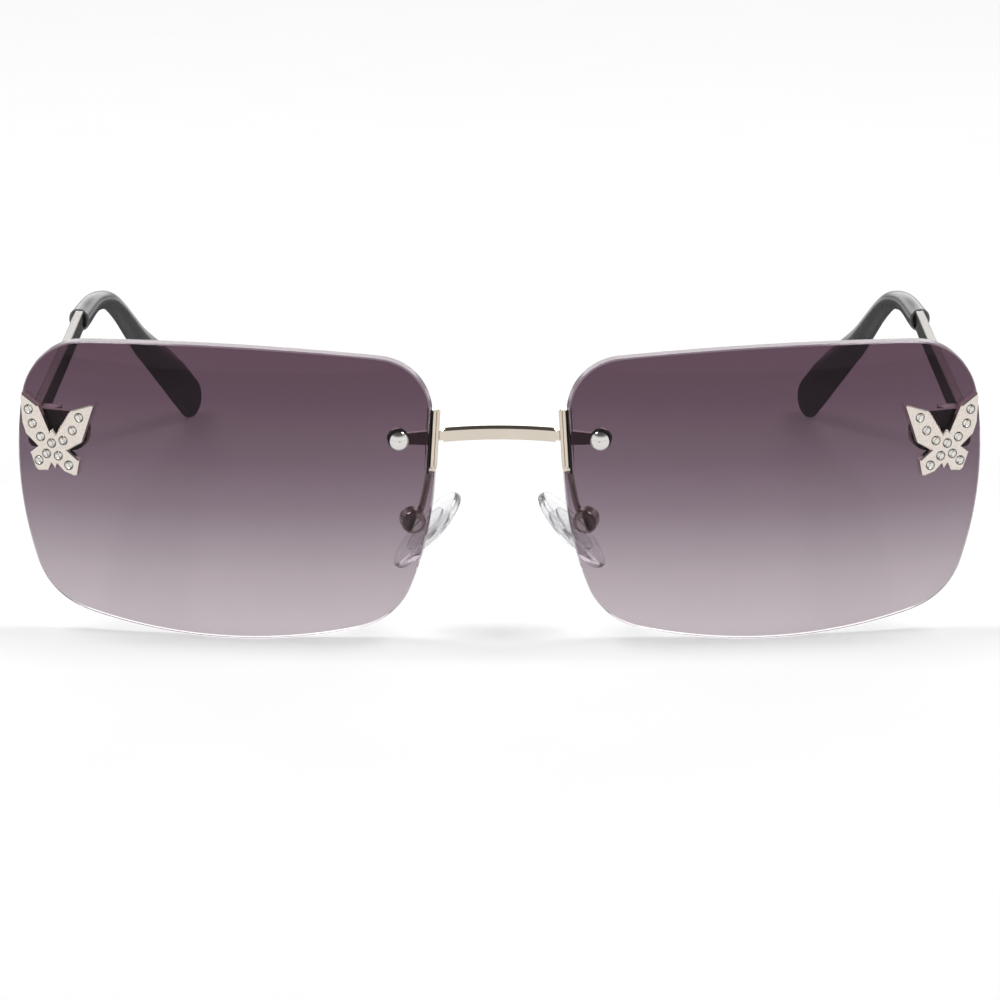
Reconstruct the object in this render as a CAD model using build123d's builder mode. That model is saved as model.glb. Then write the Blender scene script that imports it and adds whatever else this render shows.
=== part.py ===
from build123d import *
from math import atan2, cos, degrees, hypot, radians, sin, sqrt
import os

# Rimless sunglasses standing open on a table, on the lower rims of the lenses and on the two ear tips.
# +Z is up, the lenses face -Y, the wearer's left is +X, and the origin is under the middle of the whole.
# Everything is drawn for the wearer's left side and mirrored to the right.
# Lengths are in millimetres and angles in degrees.

# Lenses, measured in the flat plane that each lens faces along
lens_width = 63.4
lens_height = 46.35
lens_thickness = 1.9
lens_curve_radius = 106.0
lens_gap = 19.4
lens_wrap_angle = 7.0
lens_tilt_angle = 4.0
lens_bevel = 0.2
lens_corner_top_nose = 9.0
lens_corner_bottom_nose = 11.0
lens_corner_bottom_outer = 10.8
lens_corner_top_outer = 10.5

# The whole, from the front of the lenses to the ends of the ear tips
overall_depth = 147.9
cut_overrun = 2.0
contact_gap = 0.02

# Bridge: a bar between two straps that hold the lenses' nose edges
strap_up = 8.3
strap_lean_angle = 3.5
strap_back_width = 1.45
strap_back_height = 9.6
strap_overhang = 0.55
strap_recess = 0.9
strap_clearance = 0.05
rib_width = 1.05
rib_height = 8.9
rib_rise = 0.35
rib_round = 0.3
rib_groove_width = 0.22
rib_groove_depth = 0.2
bar_height = 2.15
bar_depth = 1.5
bar_chamfer = 0.45
bar_round = 0.3
neck_height = 1.7
neck_depth = 1.15
neck_length = 0.9
bar_arch = 0.65
bar_bow = 0.5
bar_rise = 0.8
bar_setback = 1.1

# Screw, bushes and nut that clamp the strap's tab behind the lens
screw_inset = 5.1
screw_up = 8.7
screw_head_radius = 1.42
screw_head_height = 0.65
screw_radius = 0.6
bush_radius = 0.9
bush_flange_radius = 1.4
bridge_flange_thickness = 0.2
end_flange_thickness = 0.4
tab_thickness = 0.9
tab_width = 2.2
tab_waist = 1.5
tab_ring_radius = 1.6
nut_radius = 1.2
nut_height = 1.1
nut_chamfer = 0.2
thread_end = 0.15

# Nose pads, and the arms and boxes that carry them
pad_inward = 11.0
pad_back = 10.0
pad_up = 15.85
pad_lean_angle = 42.0
pad_splay_angle = 18.0
pad_length = 14.6
pad_width = 7.4
pad_thickness = 1.9
pad_round = 0.75
insert_length = 8.0
insert_width = 3.6
insert_thickness = 0.7
pivot_height = 3.15
box_radius = 1.9
box_length = 2.7
box_round = 0.6
box_back_wall = 0.6
box_end_wall = 0.7
stem_thickness = 1.2
stem_width = 1.7
stem_clearance = 0.06
pad_screw_radius = 0.4
pad_screw_clearance = 0.04
pad_screw_head_radius = 1.05
pad_screw_head_height = 0.35
slot_width = 0.25
slot_depth = 0.15
pad_arm_radius = 0.5

# Butterfly: a plate with stones, held by two studs through the lens
butterfly_inset = 5.53
butterfly_up = 7.12
butterfly_span = 12.0
butterfly_thickness = 1.1
butterfly_bevel = 0.18
stone_radius = 0.68
stone_table_radius = 0.38
stone_girdle = 0.2
stone_crown = 0.32
stone_gap = 0.07
stone_pocket_depth = 0.3
stone_sides = 8
stud_radius = 0.6

# End piece behind the butterfly, and the hinge that it carries
end_plate_length = 9.85
end_plate_height = 6.0
end_plate_thickness = 1.1
end_plate_nose_round = 2.8
end_plate_outer_round = 1.0
end_plate_inset = 0.23
end_plate_rise = 1.5
arm_height = 4.0
hinge_back = 7.76
hinge_up = 32.3
hinge_drop = 0.45
joint_gap = 0.05
ear_radius = 1.25
ear_height = 1.0
ear_side_gap = 0.25
tongue_height = 1.2
tongue_clearance = 0.05
hinge_base_length = 2.2
hinge_turn_clearance = 0.15
hinge_screw_radius = 0.6
hinge_screw_clearance = 0.04
hinge_screw_head_radius = 1.0
hinge_screw_head_height = 0.45

# Temples: a flat metal blade whose round core runs on inside a moulded ear tip
blade_outset = 1.84
blade_thickness = 1.4
blade_height = 4.0
blade_end_height = 3.3
blade_round = 0.25
tip_reach = 52.9
mouth_up = 29.0
paddle_thickness = 3.4
paddle_height = 7.2
tip_inset = 15.1
core_radius = 0.7
core_reach_share = 0.8

# Outline of the lens: its corners, and the furthest point of each side between them,
# as shares of half the width and half the height, out from the middle and up
corner_top_nose_share = (-0.936, 0.872)
corner_bottom_nose_share = (-0.798, -0.869)
corner_bottom_outer_share = (0.860, -0.786)
corner_top_outer_share = (0.923, 0.944)
side_top_share = (0.18, 1.0)
side_nose_share = (-1.0, 0.235)
side_bottom_share = (-0.066, -1.0)
side_outer_share = (1.0, 0.205)

# Outline of the butterfly and the places of its stones and studs,
# as shares of its span from the middle of its body, out to the temple and up
butterfly_shares = (
    (0.373, 0.616), (0.151, 0.469), (0.001, 0.138), (-0.048, 0.183), (-0.092, 0.123), (-0.267, 0.400),
    (-0.318, 0.446), (-0.596, 0.542), (-0.614, 0.526), (-0.443, 0.042), (-0.256, -0.071),
    (-0.409, -0.188), (-0.370, -0.382), (-0.327, -0.394), (-0.201, -0.356), (-0.096, -0.257),
    (-0.071, -0.323), (-0.018, -0.254), (0.028, -0.354), (0.159, -0.367), (0.198, -0.338),
    (0.267, -0.145), (0.158, -0.058), (0.319, 0.088), (0.369, 0.237), (0.390, 0.552),
)
stone_shares = (
    (0.277, 0.414), (0.226, 0.235), (0.113, 0.074), (-0.038, 0.004), (-0.197, 0.051), (-0.328, 0.191),
    (-0.422, 0.365), (0.036, -0.137), (0.143, -0.233), (-0.127, -0.152), (-0.269, -0.262),
)
stud_shares = ((-0.290, 0.117), (-0.075, 0.015))

# Route of the ear tip from its mouth, as shares of its way back, in and down,
# and the same for the pad arm from the strap's foot to the pad box, out, back and down
tip_route_shares = (
    (0.161, 0.126, -0.047), (0.303, 0.278, 0.020), (0.573, 0.545, 0.410), (0.774, 0.783, 0.690),
)
pad_arm_shares = ((0.2, 0.35, 0.25), (0.6, 0.75, 0.7))

# Thickness and height of the ear tip at even steps from its mouth to its foot, as shares of the paddle's
tip_thickness_shares = (1.03, 0.93, 0.88, 0.88, 0.90, 0.93, 0.97, 1.0, 1.0)
tip_height_shares = (0.50, 0.43, 0.41, 0.46, 0.57, 0.74, 0.93, 1.0, 1.0)

wrap = radians(lens_wrap_angle)
tilt = radians(lens_tilt_angle)
half_width = lens_width / 2
half_height = lens_height / 2
front_y = -overall_depth / 2


def sag(distance):
    """How far the front curve falls back at a distance from the lens's axis."""
    return lens_curve_radius - sqrt(lens_curve_radius**2 - distance**2)


lens_facing = Vector(sin(wrap) * cos(tilt), -cos(wrap) * cos(tilt), -sin(tilt))
lens_centre = Vector(
    lens_gap / 2 + half_width * cos(wrap) + sag(half_width) * lens_facing.X,
    front_y + lens_curve_radius * (1 + lens_facing.Y),
    half_height * cos(tilt) + sag(half_height) * lens_facing.Z,
)
lens_plane = Plane(origin=lens_centre, x_dir=(cos(wrap), sin(wrap), 0), z_dir=lens_facing)
curve_centre = lens_plane.offset(-lens_curve_radius).origin
lens_back_reach = sag(hypot(half_width, half_height)) + lens_thickness


def seat(across, up):
    """Plane that touches the lens's front curve at a point out from and above the lens's centre."""
    touching = lens_plane.from_local_coords(Vector(across, up, -sag(hypot(across, up))))
    facing = (touching - curve_centre).normalized()
    return Plane(origin=touching, x_dir=Vector(0, 0, 1).cross(facing), z_dir=facing)


def placed(points, across, up):
    """Points given as shares of two lengths."""
    return [(across * point[0], up * point[1]) for point in points]


screw_plane = seat(screw_inset - half_width, screw_up)
butterfly_plane = seat(half_width - butterfly_inset, butterfly_up)
strap_seat = seat(-half_width, strap_up)
strap_plane = Plane(
    origin=strap_seat.origin,
    x_dir=strap_seat.x_dir.rotate(Axis(strap_seat.origin, strap_seat.z_dir), strap_lean_angle),
    z_dir=strap_seat.z_dir,
)
stud_places = placed(stud_shares, butterfly_span, butterfly_span)
stone_places = placed(stone_shares, butterfly_span, butterfly_span)
behind_bridge_bush = lens_thickness + bridge_flange_thickness
behind_tab = behind_bridge_bush + tab_thickness
behind_end_bush = lens_thickness + end_flange_thickness
behind_end_plate = behind_end_bush + end_plate_thickness

# Lens: a curved shell cut to its outline, drilled for its three fixings and notched for the strap
corner_top_nose, corner_bottom_nose, corner_bottom_outer, corner_top_outer = placed(
    (corner_top_nose_share, corner_bottom_nose_share, corner_bottom_outer_share, corner_top_outer_share),
    half_width,
    half_height,
)
side_top, side_nose, side_bottom, side_outer = placed(
    (side_top_share, side_nose_share, side_bottom_share, side_outer_share), half_width, half_height
)
with BuildPart() as lens:
    with BuildSketch(lens_plane.offset(cut_overrun)):
        with BuildLine():
            ThreePointArc(corner_top_outer, side_top, corner_top_nose)
            ThreePointArc(corner_top_nose, side_nose, corner_bottom_nose)
            ThreePointArc(corner_bottom_nose, side_bottom, corner_bottom_outer)
            ThreePointArc(corner_bottom_outer, side_outer, corner_top_outer)
        make_face()
        for corner, corner_radius in (
            (corner_top_nose, lens_corner_top_nose),
            (corner_bottom_nose, lens_corner_bottom_nose),
            (corner_bottom_outer, lens_corner_bottom_outer),
            (corner_top_outer, lens_corner_top_outer),
        ):
            fillet(vertices().sort_by_distance(corner)[0], corner_radius)
    extrude(amount=-lens_back_reach - 2 * cut_overrun)
    with Locations(curve_centre):
        Sphere(lens_curve_radius, mode=Mode.INTERSECT)
        Sphere(lens_curve_radius - lens_thickness, mode=Mode.SUBTRACT)
    chamfer(lens.faces().filter_by(GeomType.SPHERE).edges(), lens_bevel)
    with BuildSketch(screw_plane.offset(cut_overrun)):
        Circle(bush_radius)
    with BuildSketch(butterfly_plane.offset(cut_overrun)):
        with Locations(*stud_places):
            Circle(bush_radius)
    extrude(amount=-lens_thickness - 2 * cut_overrun, mode=Mode.SUBTRACT)
    with BuildSketch(strap_plane.offset(cut_overrun)):
        with Locations((-strap_overhang - strap_clearance, 0)):
            Rectangle(
                strap_back_width + 2 * strap_clearance,
                strap_back_height + 2 * strap_clearance,
                align=(Align.MIN, Align.CENTER),
            )
    extrude(amount=-lens_back_reach - cut_overrun, mode=Mode.SUBTRACT)

# Lens bushes: plastic sleeves in the three holes, each with a flange behind the lens
with BuildPart() as lens_bushes:
    for plane, place, pin_radius, behind_bush in (
        (screw_plane, (0, 0), screw_radius, behind_bridge_bush),
        (butterfly_plane, stud_places[0], stud_radius, behind_end_bush),
        (butterfly_plane, stud_places[1], stud_radius, behind_end_bush),
    ):
        flange_front = lens_thickness + sag(hypot(*place) + bush_flange_radius) + contact_gap
        with BuildSketch(plane.offset(-behind_bush)):
            with Locations(place):
                Circle(bush_flange_radius)
                Circle(pin_radius, mode=Mode.SUBTRACT)
        extrude(amount=behind_bush - flange_front)
        with BuildSketch(plane.offset(-behind_bush)):
            with Locations(place):
                Circle(bush_radius)
                Circle(pin_radius, mode=Mode.SUBTRACT)
        extrude(amount=behind_bush - sag(hypot(*place) + bush_radius) - contact_gap)

# Bridge strap: a grooved rib on a block in the lens's notch, with a ringed tab that reaches to the screw
with BuildPart() as bridge_strap:
    with BuildSketch(strap_plane.offset(-behind_tab)):
        with Locations((-strap_overhang, 0)):
            Rectangle(strap_back_width, strap_back_height, align=(Align.MIN, Align.CENTER))
    extrude(amount=behind_tab - strap_recess)
    with BuildSketch(strap_plane.offset(-strap_recess)):
        with Locations((-strap_overhang, strap_back_height / 2)):
            Rectangle(rib_width, rib_height, align=(Align.MIN, Align.MAX))
    extrude(amount=strap_recess + rib_rise)
    rib_face = bridge_strap.faces().sort_by(Axis(strap_plane.origin, strap_plane.z_dir))[-1]
    fillet(rib_face.edges(), rib_round)
    with BuildSketch(strap_plane.offset(rib_rise)):
        with Locations((-strap_overhang + rib_width / 2, 0)):
            Rectangle(rib_groove_width, strap_back_height)
    extrude(amount=-rib_groove_depth, mode=Mode.SUBTRACT)
    with BuildSketch(screw_plane.offset(-behind_bridge_bush)):
        with BuildLine():
            Polyline(
                (0, tab_waist / 2),
                (-screw_inset, tab_width / 2),
                (-screw_inset, -tab_width / 2),
                (0, -tab_waist / 2),
                close=True,
            )
        make_face()
        Circle(tab_ring_radius)
        Circle(screw_radius, mode=Mode.SUBTRACT)
    extrude(amount=-tab_thickness)

# Bridge bar: an arched, bowed bar with a flat on its upper front edge and a slimmer neck at each end
bar_end = strap_plane.from_local_coords(Vector(-strap_overhang + rib_width / 2, bar_rise, -bar_setback))
with BuildPart() as bridge_bar:
    with BuildLine():
        bar_curve = ThreePointArc(
            (-bar_end.X, bar_end.Y, bar_end.Z),
            (0, bar_end.Y - bar_bow, bar_end.Z + bar_arch),
            (bar_end.X, bar_end.Y, bar_end.Z),
        )
    bar_across = (bar_curve % 0).cross(Vector(0, 0, -1))
    with BuildSketch(Plane(origin=bar_curve @ 0, x_dir=bar_across, z_dir=bar_curve % 0)):
        RectangleRounded(neck_depth, neck_height, bar_round)
    sweep()
    neck_share = (rib_width / 2 + neck_length) / bar_curve.length
    with BuildLine():
        bar_middle = ThreePointArc(bar_curve @ neck_share, bar_curve @ (1 / 2), bar_curve @ (1 - neck_share))
    middle_across = (bar_middle % 0).cross(Vector(0, 0, -1))
    with BuildSketch(Plane(origin=bar_middle @ 0, x_dir=middle_across, z_dir=bar_middle % 0)):
        Rectangle(bar_depth, bar_height)
        chamfer(vertices().group_by(Axis.X)[0].sort_by(Axis.Y)[-1], bar_chamfer)
        fillet(vertices().group_by(Axis.X)[0].sort_by(Axis.Y)[0], bar_round)
        fillet(vertices().group_by(Axis.X)[-1], bar_round)
    sweep()
    add(bridge_strap.part, mode=Mode.SUBTRACT)
    mirror(bridge_strap.part, about=Plane.YZ, mode=Mode.SUBTRACT)

# Bridge screw: a domed head on the front of the lens, with its shank through bush, tab and nut
dome_radius = (screw_head_radius**2 + screw_head_height**2) / (2 * screw_head_height)
with BuildPart() as bridge_screw:
    with BuildSketch(screw_plane):
        Circle(dome_radius)
    extrude(amount=screw_head_height)
    with Locations(screw_plane.offset(screw_head_height - dome_radius).origin):
        Sphere(dome_radius, mode=Mode.INTERSECT)
    with BuildSketch(screw_plane):
        Circle(screw_radius)
    extrude(amount=-behind_tab - nut_height - thread_end)

# Bridge nut: a six-sided nut behind the tab
with BuildPart() as bridge_nut:
    with BuildSketch(screw_plane.offset(-behind_tab)):
        RegularPolygon(nut_radius, 6)
        Circle(screw_radius, mode=Mode.SUBTRACT)
    extrude(amount=-nut_height)
    nut_end = bridge_nut.faces().sort_by(Axis(screw_plane.origin, screw_plane.z_dir))[0]
    chamfer(nut_end.outer_wire().edges(), nut_chamfer)

# Nose pad frame: x runs up the pad, y back along its width, and z points into the nose
lean = radians(pad_lean_angle)
splay = radians(pad_splay_angle)
pad_plane = Plane(
    origin=(pad_inward, front_y + pad_back, pad_up),
    x_dir=(-sin(lean), 0, cos(lean)),
    z_dir=(-cos(lean) * cos(splay), sin(splay), -sin(lean) * cos(splay)),
)
pivot_plane = Plane(
    origin=pad_plane.offset(-pivot_height).origin, x_dir=pad_plane.x_dir, z_dir=-pad_plane.y_dir
)

# Pad insert: a stiff oval plate inside the pad, with a stem that turns on the pad screw
with BuildPart() as pad_insert:
    with BuildSketch(pad_plane.offset(-insert_thickness / 2)):
        Ellipse(insert_length / 2, insert_width / 2)
    extrude(amount=insert_thickness)
    with BuildSketch(pivot_plane.offset(-stem_thickness / 2)):
        Circle(stem_width / 2)
        Rectangle(stem_width, pivot_height, align=(Align.CENTER, Align.MIN))
        Circle(pad_screw_radius + pad_screw_clearance, mode=Mode.SUBTRACT)
    extrude(amount=stem_thickness)

# Nose pad: a soft clear oval moulded round its insert
with BuildPart() as nose_pad:
    with BuildSketch(pad_plane.offset(-pad_thickness / 2)):
        Ellipse(pad_length / 2, pad_width / 2)
    extrude(amount=pad_thickness)
    fillet(nose_pad.edges().filter_by(GeomType.ELLIPSE), pad_round)
    add(pad_insert.part, mode=Mode.SUBTRACT)

# Pad box: a round clevis that holds the stem between its cheeks
slot_floor = box_radius - box_back_wall
slot_end = box_radius - box_end_wall
with BuildPart() as pad_box:
    with BuildSketch(pivot_plane.offset(-box_length / 2)):
        Circle(box_radius)
    extrude(amount=box_length)
    fillet(pad_box.edges().filter_by(GeomType.CIRCLE), box_round)
    with BuildSketch(pivot_plane.offset(-stem_thickness / 2 - stem_clearance)):
        with Locations((slot_end, -slot_floor)):
            Rectangle(
                slot_end + box_radius + cut_overrun,
                slot_floor + box_radius + cut_overrun,
                align=(Align.MAX, Align.MIN),
            )
    extrude(amount=stem_thickness + 2 * stem_clearance, mode=Mode.SUBTRACT)
    with BuildSketch(pivot_plane.offset(-box_length / 2)):
        Circle(pad_screw_radius)
    extrude(amount=box_length, mode=Mode.SUBTRACT)

# Pad screw: a slotted pin across the box
with BuildPart() as pad_screw:
    with BuildSketch(pivot_plane.offset(-box_length / 2)):
        Circle(pad_screw_radius)
    extrude(amount=box_length)
    with BuildSketch(pivot_plane.offset(box_length / 2)):
        Circle(pad_screw_head_radius)
    extrude(amount=pad_screw_head_height)
    with BuildSketch(pivot_plane.offset(box_length / 2 + pad_screw_head_height)):
        Rectangle(2 * pad_screw_head_radius, slot_width)
    extrude(amount=-slot_depth, mode=Mode.SUBTRACT)

# Pad arm: a bent wire from the strap's foot to the top of the pad box
arm_start = strap_plane.from_local_coords(
    Vector(
        strap_back_width / 2 - strap_overhang,
        -strap_back_height / 2 + contact_gap,
        -behind_tab + pad_arm_radius,
    )
)
arm_end = pivot_plane.from_local_coords(Vector(box_radius - box_end_wall / 2, 0, 0))
arm_way = arm_end - arm_start
arm_bends = [
    arm_start + Vector(arm_way.X * share[0], arm_way.Y * share[1], arm_way.Z * share[2])
    for share in pad_arm_shares
]
with BuildPart() as pad_arm:
    with BuildLine():
        arm_curve = Spline(arm_start, *arm_bends, arm_end)
    with BuildSketch(Plane(origin=arm_curve @ 0, z_dir=arm_curve % 0)):
        Circle(pad_arm_radius)
    sweep()
    add(bridge_strap.part, mode=Mode.SUBTRACT)
    add(pad_box.part, mode=Mode.SUBTRACT)

# Butterfly: a bevelled plate with a pocket for each stone and two studs on its back
with BuildPart() as butterfly:
    with BuildSketch(butterfly_plane):
        with BuildLine():
            Polyline(*placed(butterfly_shares, butterfly_span, butterfly_span), close=True)
        make_face()
    extrude(amount=butterfly_thickness)
    plate_face = butterfly.faces().sort_by(Axis(butterfly_plane.origin, butterfly_plane.z_dir))[-1]
    chamfer(plate_face.edges(), butterfly_bevel)
    with BuildSketch(butterfly_plane.offset(butterfly_thickness)):
        with Locations(*stone_places):
            Circle(stone_radius + stone_gap)
    extrude(amount=-stone_pocket_depth, mode=Mode.SUBTRACT)
    with BuildSketch(butterfly_plane):
        with Locations(*stud_places):
            Circle(stud_radius)
    extrude(amount=-behind_end_plate - nut_height - thread_end)

# Butterfly stones: facetted stones glued in the pockets
crown_angle = degrees(atan2(stone_radius - stone_table_radius, stone_crown))
with BuildPart() as butterfly_stones:
    with BuildSketch(butterfly_plane.offset(butterfly_thickness - stone_pocket_depth)):
        with Locations(*stone_places):
            RegularPolygon(stone_radius, stone_sides)
    extrude(amount=stone_girdle)
    with BuildSketch(butterfly_plane.offset(butterfly_thickness - stone_pocket_depth + stone_girdle)):
        with Locations(*stone_places):
            RegularPolygon(stone_radius, stone_sides)
    extrude(amount=stone_crown, taper=crown_angle)

# Butterfly nuts: one on each stud, behind the end plate
with BuildPart() as butterfly_nuts:
    with BuildSketch(butterfly_plane.offset(-behind_end_plate)):
        with Locations(*stud_places):
            RegularPolygon(nut_radius, 6)
            Circle(stud_radius, mode=Mode.SUBTRACT)
    extrude(amount=-nut_height)

# Hinge places: the pin stands inward of the metal that it joins
joint_y = butterfly_plane.origin.Y + hinge_back
blade_inward = butterfly_plane.origin.X + blade_outset
pin_x = blade_inward - ear_side_gap - ear_radius
hinge_height = 2 * ear_height + tongue_height + 2 * tongue_clearance
hinge_foot = hinge_up - hinge_drop - hinge_height / 2
tongue_foot = hinge_foot + ear_height + tongue_clearance
upper_ear_foot = tongue_foot + tongue_height + tongue_clearance

# End piece: a rounded plate behind the lens, with an arm that runs back to the temple
with BuildPart() as end_piece:
    with BuildSketch(Plane.XY.offset(hinge_up - arm_height / 2)):
        with Locations((blade_inward, butterfly_plane.origin.Y)):
            Rectangle(blade_thickness, joint_y - butterfly_plane.origin.Y, align=(Align.MIN, Align.MIN))
    extrude(amount=arm_height)
    split(bisect_by=butterfly_plane.offset(-behind_end_bush), keep=Keep.BOTTOM)
    with BuildSketch(butterfly_plane.offset(-behind_end_bush)):
        with Locations((-end_plate_inset, end_plate_rise)):
            Rectangle(end_plate_length, end_plate_height)
        fillet(vertices().group_by(Axis.X)[0], end_plate_nose_round)
        fillet(vertices().group_by(Axis.X)[-1], end_plate_outer_round)
        with Locations(*stud_places):
            Circle(stud_radius, mode=Mode.SUBTRACT)
    extrude(amount=-end_plate_thickness)


def hinge_leaf(leaf_feet, leaf_height, base_side):
    """Half of a hinge: a base soldered to the metal, and leaves that reach from it round the pin."""
    base_near = ear_radius + hinge_turn_clearance
    with BuildPart() as leaf:
        for foot in leaf_feet:
            with BuildSketch(Plane.XY.offset(foot)):
                with Locations((pin_x, joint_y)):
                    Circle(ear_radius)
                with Locations((pin_x, joint_y + base_side * base_near / 2)):
                    Rectangle(2 * ear_radius, base_near)
            extrude(amount=leaf_height)
        with BuildSketch(Plane.XY.offset(hinge_foot)):
            with Locations((pin_x - ear_radius, joint_y + base_side * (base_near + hinge_base_length / 2))):
                Rectangle(
                    blade_inward - pin_x + ear_radius, hinge_base_length, align=(Align.MIN, Align.CENTER)
                )
        extrude(amount=hinge_height)
    return leaf


# Front hinge: two ears on the end piece's arm, the lower one threaded for the pin
with BuildPart() as front_hinge:
    add(hinge_leaf((hinge_foot, upper_ear_foot), ear_height, -1).part)
    with BuildSketch(Plane.XY.offset(hinge_foot)):
        with Locations((pin_x, joint_y)):
            Circle(hinge_screw_radius)
    extrude(amount=hinge_height, mode=Mode.SUBTRACT)
    add(end_piece.part, mode=Mode.SUBTRACT)

# Temple hinge: one tongue between the ears, on the inner face of the blade
with BuildPart() as temple_hinge:
    add(hinge_leaf((tongue_foot,), tongue_height, 1).part)
    with BuildSketch(Plane.XY.offset(tongue_foot)):
        with Locations((pin_x, joint_y)):
            Circle(hinge_screw_radius + hinge_screw_clearance)
    extrude(amount=tongue_height, mode=Mode.SUBTRACT)

# Hinge screw: the pin that the temple folds on
with BuildPart() as hinge_screw:
    with BuildSketch(Plane.XY.offset(hinge_foot)):
        with Locations((pin_x, joint_y)):
            Circle(hinge_screw_radius)
    extrude(amount=hinge_height)
    with BuildSketch(Plane.XY.offset(hinge_foot + hinge_height)):
        with Locations((pin_x, joint_y)):
            Circle(hinge_screw_head_radius)
    extrude(amount=hinge_screw_head_height)
    with BuildSketch(Plane.XY.offset(hinge_foot + hinge_height + hinge_screw_head_height)):
        with Locations((pin_x, joint_y)):
            Rectangle(2 * hinge_screw_head_radius, slot_width)
    extrude(amount=-slot_depth, mode=Mode.SUBTRACT)

# Route of the ear tip: on from the blade, over the ear, then down and in to a foot on the table
paddle_end_radius = paddle_height / 2
blade_x = blade_inward + blade_thickness / 2
blade_front = Vector(blade_x, joint_y + joint_gap, hinge_up)
mouth = Vector(blade_x, overall_depth / 2 - tip_reach, mouth_up)
tip_foot = Vector(blade_x - tip_inset, overall_depth / 2 - paddle_end_radius, paddle_end_radius)
tip_way = tip_foot - mouth
tip_bends = [
    mouth + Vector(tip_way.X * share[1], tip_way.Y * share[0], tip_way.Z * share[2])
    for share in tip_route_shares
]
blade_facing = (mouth - blade_front).normalized()
foot_facing = (tip_foot - tip_bends[-1]).normalized()
tip_curve = Spline(mouth, *tip_bends, tip_foot, tangents=(blade_facing, foot_facing))


def tip_section(centre, facing):
    """Plane across the temple, with x level and pointing out."""
    return Plane(origin=centre, x_dir=facing.cross(Vector(0, 0, 1)), z_dir=facing)


# Temple: a flat blade, with the round core that stiffens the ear tip
with BuildPart() as temple:
    with BuildSketch(tip_section(blade_front, Vector(0, 1, 0))):
        RectangleRounded(blade_thickness, blade_height, blade_round)
    with BuildSketch(tip_section(mouth, blade_facing)):
        RectangleRounded(blade_thickness, blade_end_height, blade_round)
    loft()
    with BuildLine():
        add(tip_curve.trim(0, core_reach_share))
    with BuildSketch(tip_section(mouth, blade_facing)):
        Circle(core_radius)
    sweep()

# Ear tip: a moulded sleeve that thins over the ear, widens to a paddle and ends round
with BuildPart() as temple_tip:
    for step, thickness_share in enumerate(tip_thickness_shares):
        share = step / (len(tip_thickness_shares) - 1)
        with BuildSketch(tip_section(tip_curve @ share, tip_curve % share)):
            Ellipse(paddle_thickness / 2 * thickness_share, paddle_end_radius * tip_height_shares[step])
    loft()
    tip_end = tip_section(tip_foot, tip_curve % 1)
    with BuildSketch(tip_end):
        Ellipse(paddle_thickness / 2, paddle_end_radius)
        split(bisect_by=Plane.XZ, keep=Keep.BOTTOM)
    revolve(axis=Axis(tip_end.origin, tip_end.x_dir), revolution_arc=180)
    add(temple.part, mode=Mode.SUBTRACT)

os.makedirs("parts", exist_ok=True)
bridge_bar.part.label = "bridge_bar"
export_step(bridge_bar.part, "parts/bridge_bar.step")
left_pieces = {
    "lens": lens,
    "lens_bushes": lens_bushes,
    "bridge_strap": bridge_strap,
    "bridge_screw": bridge_screw,
    "bridge_nut": bridge_nut,
    "pad_arm": pad_arm,
    "pad_box": pad_box,
    "pad_screw": pad_screw,
    "pad_insert": pad_insert,
    "nose_pad": nose_pad,
    "butterfly": butterfly,
    "butterfly_stones": butterfly_stones,
    "butterfly_nuts": butterfly_nuts,
    "end_piece": end_piece,
    "front_hinge": front_hinge,
    "hinge_screw": hinge_screw,
    "temple_hinge": temple_hinge,
    "temple": temple,
    "temple_tip": temple_tip,
}
for name, piece in left_pieces.items():
    piece.part.label = f"left_{name}"
    export_step(piece.part, f"parts/left_{name}.step")
    with BuildPart() as twin:
        mirror(piece.part, about=Plane.YZ)
    twin.part.label = f"right_{name}"
    export_step(twin.part, f"parts/right_{name}.step")
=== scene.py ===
from math import cos, pi, radians, sin, tau

import bmesh
import bpy
import numpy as np
from mathutils import Matrix, Vector


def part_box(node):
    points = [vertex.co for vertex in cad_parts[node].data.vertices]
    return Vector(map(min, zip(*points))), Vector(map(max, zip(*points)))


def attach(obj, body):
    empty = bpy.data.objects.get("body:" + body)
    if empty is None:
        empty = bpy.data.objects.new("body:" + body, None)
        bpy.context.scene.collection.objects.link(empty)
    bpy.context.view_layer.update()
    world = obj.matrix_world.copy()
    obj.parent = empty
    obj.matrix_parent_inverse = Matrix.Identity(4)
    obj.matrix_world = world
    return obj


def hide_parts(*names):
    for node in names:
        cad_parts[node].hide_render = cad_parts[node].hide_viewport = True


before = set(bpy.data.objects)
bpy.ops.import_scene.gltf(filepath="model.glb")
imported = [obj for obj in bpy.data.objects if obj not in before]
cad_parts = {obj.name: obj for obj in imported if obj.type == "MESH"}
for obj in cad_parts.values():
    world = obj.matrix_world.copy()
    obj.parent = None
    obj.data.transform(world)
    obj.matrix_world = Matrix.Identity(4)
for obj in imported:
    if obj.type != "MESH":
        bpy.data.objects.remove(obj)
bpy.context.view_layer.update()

# Lenses. Cast tinted plastic, curved like part of a ball, dip-dyed dark plum at the top and
# pale mauve at the bottom. The rim is ground to its outline and only half polished.
sides = {"left": 1, "right": -1}
lens_wrap = radians(7)
lens_tilt = radians(4)
lens_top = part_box("left_lens")[1].z
rim_facing = 0.8
dye_patch = 0.012
dye_waver = 0.012
tint_stops = (
    (0.000, (0.562, 0.504, 0.537)),
    (0.225, (0.421, 0.365, 0.395)),
    (0.460, (0.226, 0.173, 0.209)),
    (0.625, (0.152, 0.105, 0.134)),
    (0.825, (0.108, 0.064, 0.089)),
    (1.000, (0.102, 0.057, 0.081)),
)


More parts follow.
